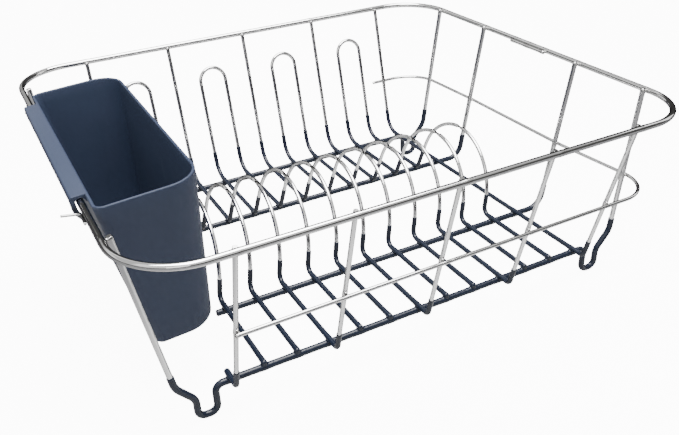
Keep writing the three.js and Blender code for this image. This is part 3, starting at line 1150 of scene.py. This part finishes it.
@dataclass
class Wirework:
    """Every wire with its vinyl, and the fillets that the vinyl leaves at the crossings."""

    layout: WireLayout
    origin: Vector
    chrome: bpy.types.Material
    vinyl: bpy.types.Material
    wire_sides: int = 20
    coat_sides: int = 24
    weld_reach: float = 4.5
    weld_swell: float = 0.28
    coat_reach: float = 7.0
    coat_swell: float = 0.30
    fillet_voxel: float = 0.42
    fillet_reach: float = 7.5
    fillet_passes: int = 16
    fillet_grow: float = 0.12
    fillet_web: float = 1.15

    def build(self) -> None:
        """Makes every piece of the wirework."""
        self.sweep = WireSweep()
        self.welds = points_object("weld_points", self.layout.rim_welds() + self.layout.guard_welds())
        self.crossing_points = points_object(
            "crossing_points", [p for row in self.rows() for p in self.row_points(row, 0.5)]
        )
        for wire in self.layout.wires():
            self.bare_wire(wire)
            if wire.coat:
                self.coat(wire)
        for row in self.rows():
            self.fillets(row)
        discard(self.welds, self.crossing_points)

    def rows(self) -> list[Crossings]:
        """The crossings of the base, rail by rail.

        Returns:
            The rows.
        """
        s = self.layout.sizes
        plate = self.layout.plate_y
        every = tuple(range(s.last_wire + 1))
        butts = tuple(i for i in every if i not in UPRIGHT_WIRES)
        return [
            Crossings("front_upright_fillets", "front_frame_wire", -s.rail_spread, UPRIGHT_WIRES, 6.0, 6.0),
            Crossings("front_end_fillets", "front_frame_wire", -s.rail_spread, butts, 1.6, 6.0),
            Crossings("front_plate_fillets", "front_plate_rail", -plate, every[1:], 6.0, 4.0),
            Crossings("rear_plate_fillets", "rear_plate_rail", plate, every[1:], 2.4, 6.0),
            Crossings("rear_fillets", "rear_frame_wire", s.rail_spread, every, 6.0, 2.4),
        ]

    def row_points(self, row: Crossings, share: float) -> list[Vector]:
        """A row's points, at a share of the way from the rail's axis up to the cross wires'.

        Args:
            row: The row.
            share: 0 at the rail's axis, 1 at the cross wires'.

        Returns:
            The points, in metres.
        """
        s = self.layout.sizes
        z = s.rail_height + share * (self.layout.cross_z - s.rail_height)
        return [Vector((self.layout.cross_x(i), row.y, z)) * MM for i in row.wires]

    def chain(
        self, name: str, stretches: list[list[Vector]], girths: list[list[float]], closed: bool = False
    ) -> bpy.types.Object:
        """A mesh of joined points with the girth that the sweep takes at each.

        Args:
            name: The object's name.
            stretches: Runs of points.
            girths: The share of the radius at each point.
            closed: Whether each run closes on itself.

        Returns:
            The object.
        """
        vertices: list[Vector] = []
        edges: list[tuple[int, int]] = []
        for stretch in stretches:
            first = len(vertices)
            vertices += stretch
            edges += [(first + k, first + k + 1) for k in range(len(stretch) - 1)]
            if closed:
                edges.append((len(vertices) - 1, first))
        mesh = bpy.data.meshes.new(name)
        mesh.from_pydata([tuple(v) for v in vertices], edges, [])
        girth = mesh.attributes.new("girth", "FLOAT", "POINT")
        girth.data.foreach_set("value", [g for run in girths for g in run])
        return new_object(name, mesh)

    def rounded(
        self, points: list[Vector], radius: float, start: bool, end: bool
    ) -> tuple[list[Vector], list[float]]:
        """Adds points close to the ends of a run and rounds them off.

        Args:
            points: The run.
            radius: The wire's radius in metres.
            start: Whether the first end is rounded fully, as a free end is.
            end: The same for the last end.

        Returns:
            The points and their girths.
        """
        shares = {True: FREE_END, False: CUT_END}
        head = self.cap(points[0], points[1], radius, shares[start])
        tail = self.cap(points[-1], points[-2], radius, shares[end])[::-1]
        joined = head + [(p, 1.0) for p in points[1:-1]] + tail
        return [p for p, _ in joined], [g for _, g in joined]

    def cap(
        self, end: Vector, inner: Vector, radius: float, shares: Sequence[Flat]
    ) -> list[tuple[Vector, float]]:
        """The points of a rounded end, from the tip inwards and short of the next point.

        Args:
            end: The wire's end.
            inner: The next point along it.
            radius: The wire's radius in metres.
            shares: Girth by distance from the end, as a share of the radius.

        Returns:
            The points, each with its girth.
        """
        along = (inner - end).normalized()
        room = (inner - end).length * 0.9
        made = [(end + along * min(share * radius, room), girth) for share, girth in shares]
        return made + [(end + along * min(radius, room), 1.0)]

    def placed(self, piece: bpy.types.Object, material_slot: Slot, *nodes: str) -> None:
        """Moves a finished mesh to the rim's middle and ties it to the frame.

        Args:
            piece: The finished piece.
            material_slot: The record's slot for it. Not used.
            nodes: The CAD nodes that it stands for.
        """
        piece.data.transform(Matrix.Translation(self.origin))
        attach(piece, Body.RACK.value)
        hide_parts(*nodes)
        log.info("%s: %d faces", piece.name, len(piece.data.polygons))

    def bare_wire(self, wire: Wire) -> None:
        """The chromed steel of one wire.

        Args:
            wire: The wire.
        """
        points = bent_points(wire.corners)
        radius = wire.radius * MM
        if wire.closed:
            points, girths = points[:-1], [1.0] * (len(points) - 1)
        else:
            points, girths = self.rounded(points, radius, False, False)
        piece = self.chain(wire.node + "_steel", [points], [girths], wire.closed)
        self.sweep.apply(
            piece,
            Radius=radius,
            Sides=self.wire_sides,
            Welds=self.welds,
            Weld_Reach=self.weld_reach * MM,
            Weld_Swell=self.weld_swell * MM,
            Material=self.chrome,
        )
        self.placed(piece, Slot.CHROME, wire.node)

    def above_dip(self, point: Vector) -> float:
        """How far a point stands above the top of the vinyl, in metres."""
        s = self.layout.sizes
        return point.z - s.dip_height * MM - s.dip_rise * point.y

    def dipped(self, points: list[Vector]) -> list[tuple[list[Vector], bool, bool]]:
        """The stretches of a wire that lie below the top of the vinyl.

        Args:
            points: The wire's points.

        Returns:
            Each stretch, with whether its first and its last end are free ends of the wire.
        """
        runs: list[tuple[list[Vector], bool, bool]] = []
        run: list[Vector] | None = None
        from_end = False
        if self.above_dip(points[0]) < 0:
            run, from_end = [points[0]], True
        for before, here in zip(points, points[1:]):
            low, high = self.above_dip(before), self.above_dip(here)
            if (low < 0) != (high < 0):
                cut = before.lerp(here, low / (low - high))
                if low < 0:
                    runs.append(([*run, cut], from_end, False))
                    run = None
                else:
                    run, from_end = [cut], False
            if high < 0:
                run.append(here)
        if run:
            runs.append((run, from_end, True))
        return runs

    def coat(self, wire: Wire) -> None:
        """The vinyl on one wire.

        Args:
            wire: The wire.
        """
        radius = wire.coat * MM
        stretches, girths = [], []
        for points, from_end, to_end in self.dipped(bent_points(wire.corners, COAT_STEP)):
            if from_end:
                points[0] = points[0] + (points[0] - points[1]).normalized() * COAT_OVERRUN
            if to_end:
                points[-1] = points[-1] + (points[-1] - points[-2]).normalized() * COAT_OVERRUN
            shaped, girth = self.rounded(points, radius, from_end, to_end)
            stretches.append(shaped)
            girths.append(girth)
        piece = self.chain(wire.node + "_vinyl", stretches, girths)
        self.sweep.apply(
            piece,
            Radius=radius,
            Sides=self.coat_sides,
            Welds=self.crossing_points,
            Weld_Reach=self.coat_reach * MM,
            Weld_Swell=self.coat_swell * MM,
            Material=self.vinyl,
        )
        self.placed(piece, Slot.VINYL, wire.node)

    def fillet_template(self, row: Crossings) -> bpy.types.Object:
        """One crossing of a row, with the vinyl drawn into its corners, about the rail's axis.

        Args:
            row: The row.

        Returns:
            The crossing.
        """
        s = self.layout.sizes
        rise = self.layout.cross_z - s.rail_height
        build = bmesh.new()
        reach, grow = self.fillet_reach, self.fillet_grow
        rods = (
            (s.frame_coat + grow, 2 * reach, Matrix.Rotation(math.pi / 2, 4, "Y")),
            (
                s.cross_coat + grow,
                row.front + row.back,
                Matrix.Translation((0, (row.back - row.front) / 2 * MM, rise * MM))
                @ Matrix.Rotation(math.pi / 2, 4, "X"),
            ),
            (s.cross_coat * self.fillet_web, rise, Matrix.Translation((0, 0, rise / 2 * MM))),
        )
        for radius, depth, place in rods:
            wide = radius * MM
            bmesh.ops.create_cone(
                build, cap_ends=True, segments=32, radius1=wide, radius2=wide, depth=depth * MM, matrix=place
            )
        template = built_object(row.name + "_template", build)
        remesh = template.modifiers.new("skin", "REMESH")
        remesh.mode = "VOXEL"
        remesh.voxel_size = self.fillet_voxel * MM
        relax = template.modifiers.new("relax", "SMOOTH")
        relax.factor = 0.5
        relax.iterations = self.fillet_passes
        return bake(template)

    def fillets(self, row: Crossings) -> None:
        """The vinyl's fillets along one rail.

        Args:
            row: The row.
        """
        template = self.fillet_template(row)
        piece = points_object(row.name, self.row_points(row, 0.0))
        CopyToPoints().apply(piece, Object=template, Material=self.vinyl)
        discard(template)
        self.placed(piece, Slot.VINYL, row.rail)


# ---------------------------------------------------------------- the caddy


@dataclass
class Caddy:
    """The moulded caddy, about the rim's axis: X into the rack and Z up, in millimetres."""

    material: bpy.types.Material
    pivot: Vector
    width: float = 70.0
    length: float = 221.0
    depth: float = 120.5
    wall: float = 2.2
    floor: float = 2.4
    rim_side_draft: float = 7.3
    plate_side_draft: float = 4.0
    end_draft: float = 3.5
    tilt: float = 3.5
    plate_corner: float = 22.0
    rim_corner: float = 7.0
    floor_edge: float = 5.0
    cheek: float = 3.6
    hook_top: float = 4.9
    hook_length: float = 173.0
    hook_skirt: float = 3.0
    hook_edge: float = 1.5
    channel_radius: float = 2.7
    slots: int = 6
    slot_length: float = 26.0
    slot_width: float = 4.0
    slot_pitch: float = 30.0
    corner_steps: int = 14
    lip_level: int = 16  # the levels past this one are inside
    least_corner: float = 1.2
    edge_steps: int = 6
    lip_steps: int = 8
    skirt_cut: float = 0.5
    mouth_cut: float = 0.4
    soften: float = 0.35

    def outline(self, fall: float, inset: float) -> list[Flat]:
        """The tub's outline at a depth below its edge.

        Args:
            fall: How far below the top edge.
            inset: How far inside the drafted outer face.

        Returns:
            Points counter-clockwise as seen from above.
        """
        left = self.cheek + fall * slope(self.rim_side_draft) + inset
        right = self.cheek + self.width - fall * slope(self.plate_side_draft) - inset
        half = self.length / 2 - fall * slope(self.end_draft) - inset
        far = max(self.plate_corner - inset, self.least_corner)
        near = max(self.rim_corner - inset, self.least_corner)
        corners = (
            (right - far, -half + far, far, -90),
            (right - far, half - far, far, 0),
            (left + near, half - near, near, 90),
            (left + near, -half + near, near, 180),
        )
        points = []
        for x, y, radius, start in corners:
            points += arc(x, y, radius, start, start + 90, self.corner_steps)
        return points

    def levels(self) -> list[Flat]:
        """The section of the wall as (depth below the edge, inset), from the outer floor over the lip.

        Returns:
            The levels, in order.
        """
        rows = []
        half = self.wall / 2
        for k in range(self.edge_steps + 1):
            angle = math.radians(90 * k / self.edge_steps)
            rows.append((
                self.depth - self.floor_edge * (1 - math.cos(angle)),
                self.floor_edge * (1 - math.sin(angle)),
            ))
        shares = (0.75, 0.5, 0.25, 0.08)
        rows += [(self.depth * share, 0.0) for share in shares]
        for k in range(self.lip_steps + 1):
            angle = math.radians(180 * k / self.lip_steps)
            rows.append((half - half * math.sin(angle), half - half * math.cos(angle)))
        inner_edge = self.floor_edge - self.wall * 0.5
        inner_depth = self.depth - self.floor
        rows += [(self.depth * share, self.wall) for share in reversed(shares)]
        for k in range(self.edge_steps + 1):
            angle = math.radians(90 * k / self.edge_steps)
            rows.append((
                inner_depth - inner_edge * (1 - math.sin(angle)),
                self.wall + inner_edge * (1 - math.cos(angle)),
            ))
        return rows

    def tub(self) -> bpy.types.Object:
        """The tub as a closed skin.

        Returns:
            The tub.
        """
        build = bmesh.new()
        rings = []
        for fall, inset in self.levels():
            z = (self.hook_top - fall) * MM
            rings.append([build.verts.new((x * MM, y * MM, z)) for x, y in self.outline(fall, inset)])
        for lower, upper in zip(rings, rings[1:]):
            for k in range(len(lower)):
                n = (k + 1) % len(lower)
                build.faces.new((lower[k], lower[n], upper[n], upper[k]))
        build.faces.new(rings[0][::-1])
        build.faces.new(rings[-1])
        tub = built_object("caddy_tub", build)
        # Marks the inside faces, which the plastic paints lighter as painted light.
        inside = tub.data.attributes.new("inside", "FLOAT", "POINT")
        per_ring = len(rings[0])
        count = per_ring * len(rings)
        inside.data.foreach_set("value", [float(k // per_ring > self.lip_level) for k in range(count)])
        return tub

    def prism(
        self, name: str, section: Sequence[Flat], low: float, high: float, place: Place
    ) -> bpy.types.Object:
        """A section swept straight from low to high.

        Args:
            name: The object's name.
            section: The section's points.
            low: Where the sweep starts.
            high: Where it ends.
            place: Turns a section point and a distance into a place.

        Returns:
            The object, with its faces turned outwards.
        """
        build = bmesh.new()
        ends = [[build.verts.new([v * MM for v in place(a, b, at)]) for a, b in section] for at in (low, high)]
        for k in range(len(section)):
            n = (k + 1) % len(section)
            build.faces.new((ends[0][k], ends[0][n], ends[1][n], ends[1][k]))
        build.faces.new(ends[0][::-1])
        build.faces.new(ends[1])
        bmesh.ops.recalc_face_normals(build, faces=build.faces)
        return built_object(name, build)

    def hook(self) -> bpy.types.Object:
        """The channel over the rim.

        Returns:
            The hook.
        """
        outer, inner = -self.cheek - self.wall, self.cheek + self.wall / 2
        spring = self.channel_radius - self.cheek
        edge = self.hook_edge
        section = [(inner, self.hook_top)]
        section += arc(outer + edge, self.hook_top - edge, edge, 90, 180, 6)
        section += [(outer, -self.hook_skirt + self.skirt_cut), (outer + self.skirt_cut, -self.hook_skirt)]
        section += [(-self.cheek - self.mouth_cut, -self.hook_skirt), (-self.cheek, -self.hook_skirt + self.mouth_cut)]
        section += arc(0.0, spring, self.cheek, 180, 0, 16)
        section += [(inner, spring)]
        half = self.hook_length / 2
        hook = self.prism("caddy_hook", section, -half, half, lambda a, b, at: (a, at, b))
        soften = hook.modifiers.new("soften", "BEVEL")
        soften.width = self.soften * MM
        soften.segments = 3
        soften.limit_method = "ANGLE"
        soften.angle_limit = math.radians(50)
        return bake(hook)

    def drains(self) -> bpy.types.Object:
        """The cutters of the drain slots.

        Returns:
            The cutters, as one object.
        """
        half = (self.slot_length - self.slot_width) / 2
        section = arc(half, 0, self.slot_width / 2, -90, 90, 10)
        section += arc(-half, 0, self.slot_width / 2, 90, 270, 10)
        drift = self.depth * (slope(self.rim_side_draft) - slope(self.plate_side_draft)) / 2
        x = self.cheek + self.width / 2 + drift
        bottom = self.hook_top - self.depth
        top = bottom + self.floor
        cutter = self.prism("drain_cutter", section, bottom - 2, top + 2, lambda a, b, at: (x + a, b, at))
        middle = (self.slots - 1) / 2
        places = [Vector((0, (k - middle) * self.slot_pitch * MM, 0)) for k in range(self.slots)]
        row = points_object("drain_row", places)
        CopyToPoints().apply(row, Object=cutter, Material=self.material)
        discard(cutter)
        return row

    def combine(self, base: bpy.types.Object, other: bpy.types.Object, operation: str) -> bpy.types.Object:
        """Joins or cuts base with other, and removes other.

        Args:
            base: The object that stays.
            other: The object that is used up.
            operation: The Boolean's operation.

        Returns:
            The object that stays.
        """
        change = base.modifiers.new("combine", "BOOLEAN")
        change.operation = operation
        change.solver = "EXACT"
        change.object = other
        bake(base)
        discard(other)
        return base

    def build(self) -> None:
        """Makes the caddy and hangs it on the rim."""
        tub = self.combine(self.tub(), self.drains(), "DIFFERENCE")
        piece = self.combine(tub, self.hook(), "UNION")
        piece.name = "caddy_moulding"
        mesh = piece.data
        mesh.transform(Matrix.Translation(self.pivot) @ Matrix.Rotation(-math.radians(self.tilt), 4, "Y"))
        mesh.materials.clear()
        mesh.materials.append(self.material)
        mesh.polygons.foreach_set("material_index", [0] * len(mesh.polygons))
        mesh.polygons.foreach_set("use_smooth", [True] * len(mesh.polygons))
        mesh.set_sharp_from_angle(angle=math.radians(32))
        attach(piece, Body.CADDY.value)
        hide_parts("cutlery_caddy")
        log.info("%s: %d faces", piece.name, len(mesh.polygons))


# ---------------------------------------------------------------- the studio


@dataclass
class Studio:
    """The camera, the floor and the lights."""

    middle: Vector
    floor_material: bpy.types.Material
    azimuth: float = 27.2
    elevation: float = 30.35
    roll: float = -2.29
    camera_place: tuple[float, float, float] = (-262.0, -527.3, 382.2)
    lens: float = 40.89
    sky: float = 1.5
    backdrop: float = 11.0
    key: Colour = (-0.3, -0.12, 0.94)  # where the tent is brightest
    floor_half: float = 6.0

    def camera(self) -> None:
        """Places the camera."""
        theta, phi, roll = (math.radians(a) for a in (self.azimuth, self.elevation, self.roll))
        ahead = Vector((math.sin(theta) * math.cos(phi), math.cos(theta) * math.cos(phi), -math.sin(phi)))
        level = Vector((math.cos(theta), -math.sin(theta), 0))
        upright = level.cross(ahead)
        right = level * math.cos(roll) + upright * math.sin(roll)
        up = upright * math.cos(roll) - level * math.sin(roll)
        data = bpy.data.cameras.new("camera")
        data.lens = self.lens
        data.sensor_width = 36.0
        data.clip_start = 0.01
        made = bpy.data.objects.new("camera", data)
        place = Vector(self.camera_place) * MM
        place.x += self.middle.x
        place.y += self.middle.y
        turn = Matrix((right, up, -ahead)).transposed().to_4x4()
        made.matrix_world = Matrix.Translation(place) @ turn
        bpy.context.scene.collection.objects.link(made)
        bpy.context.scene.camera = made

    def floor(self) -> None:
        """A wide floor."""
        build = bmesh.new()
        bmesh.ops.create_grid(build, x_segments=1, y_segments=1, size=self.floor_half)
        mesh = bpy.data.meshes.new("floor")
        build.to_mesh(mesh)
        build.free()
        mesh.materials.append(self.floor_material)
        new_object("floor", mesh)

    def softbox(self, name: str, place: Colour, width: float, height: float, power: float) -> None:
        """An area light that faces the rack and that the camera doesn't see.

        Args:
            name: The light's name.
            place: Where it stands, in metres.
            width: Its width in metres.
            height: Its height in metres.
            power: Its power in watts.
        """
        data = bpy.data.lights.new(name, "AREA")
        data.shape = "RECTANGLE"
        data.size = width
        data.size_y = height
        data.energy = power
        made = bpy.data.objects.new(name, data)
        at = Vector(place)
        aim = Vector((0, 0, 0.08)) - at
        made.matrix_world = Matrix.Translation(at) @ aim.to_track_quat("-Z", "Y").to_matrix().to_4x4()
        made.visible_camera = False
        bpy.context.scene.collection.objects.link(made)

    def world(self) -> None:
        """A light tent for the rack, which the camera sees as a plain white backdrop."""
        world = bpy.data.worlds.new("studio")
        world.use_nodes = True
        graph = Graph(world.node_tree)
        heading = graph.add("ShaderNodeTexCoord", output="Generated")
        height = graph.add(
            "ShaderNodeVectorMath", {0: heading, 1: self.key}, output="Value", operation="DOT_PRODUCT"
        )
        patches = graph.add("ShaderNodeTexNoise", {"Vector": heading, "Scale": 1.7, "Detail": 0.0}, output="Fac")
        tent = 0.06 + 0.94 * height.ramp(0.34, 0.60) * (0.45 + 0.55 * patches.ramp(0.42, 0.56))
        seen = graph.add("ShaderNodeLightPath", output="Is Camera Ray")
        strength = (1.0 - seen) * tent * self.sky + seen * self.backdrop
        sky = graph.add("ShaderNodeBackground", {"Color": (1, 1, 1, 1), "Strength": strength})
        graph.add("ShaderNodeOutputWorld", {"Surface": sky})
        bpy.context.scene.world = world

    def build(self) -> None:
        """Sets everything up."""
        self.camera()
        self.floor()
        self.softbox("overhead", (0.05, -0.1, 1.7), 1.5, 1.2, 100.0)
        self.softbox("front_left", (-0.9, -1.6, 0.9), 0.9, 1.2, 3.5)
        self.softbox("rear", (-0.35, 1.6, 0.35), 1.0, 0.8, 2.5)
        self.softbox("right", (1.6, -0.3, 0.9), 0.7, 1.1, 5.0)
        self.world()


def main() -> None:
    """Builds the rack, the caddy and the studio."""
    rim_low, rim_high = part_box("top_rim")
    origin = (rim_low + rim_high) / 2
    layout = WireLayout(WireSizes())
    origin.z -= layout.sizes.rim_height * MM
    Studio(origin, PaleFloor().material()).build()
    Wirework(layout, origin, ChromePlate().material(), DippedVinyl().material()).build()
    pivot = origin + Vector((-layout.rim_x, layout.sizes.spur_middle, layout.sizes.rim_height)) * MM
    Caddy(MouldedPlastic().material(), pivot).build()


if __name__ == "__main__":
    main()
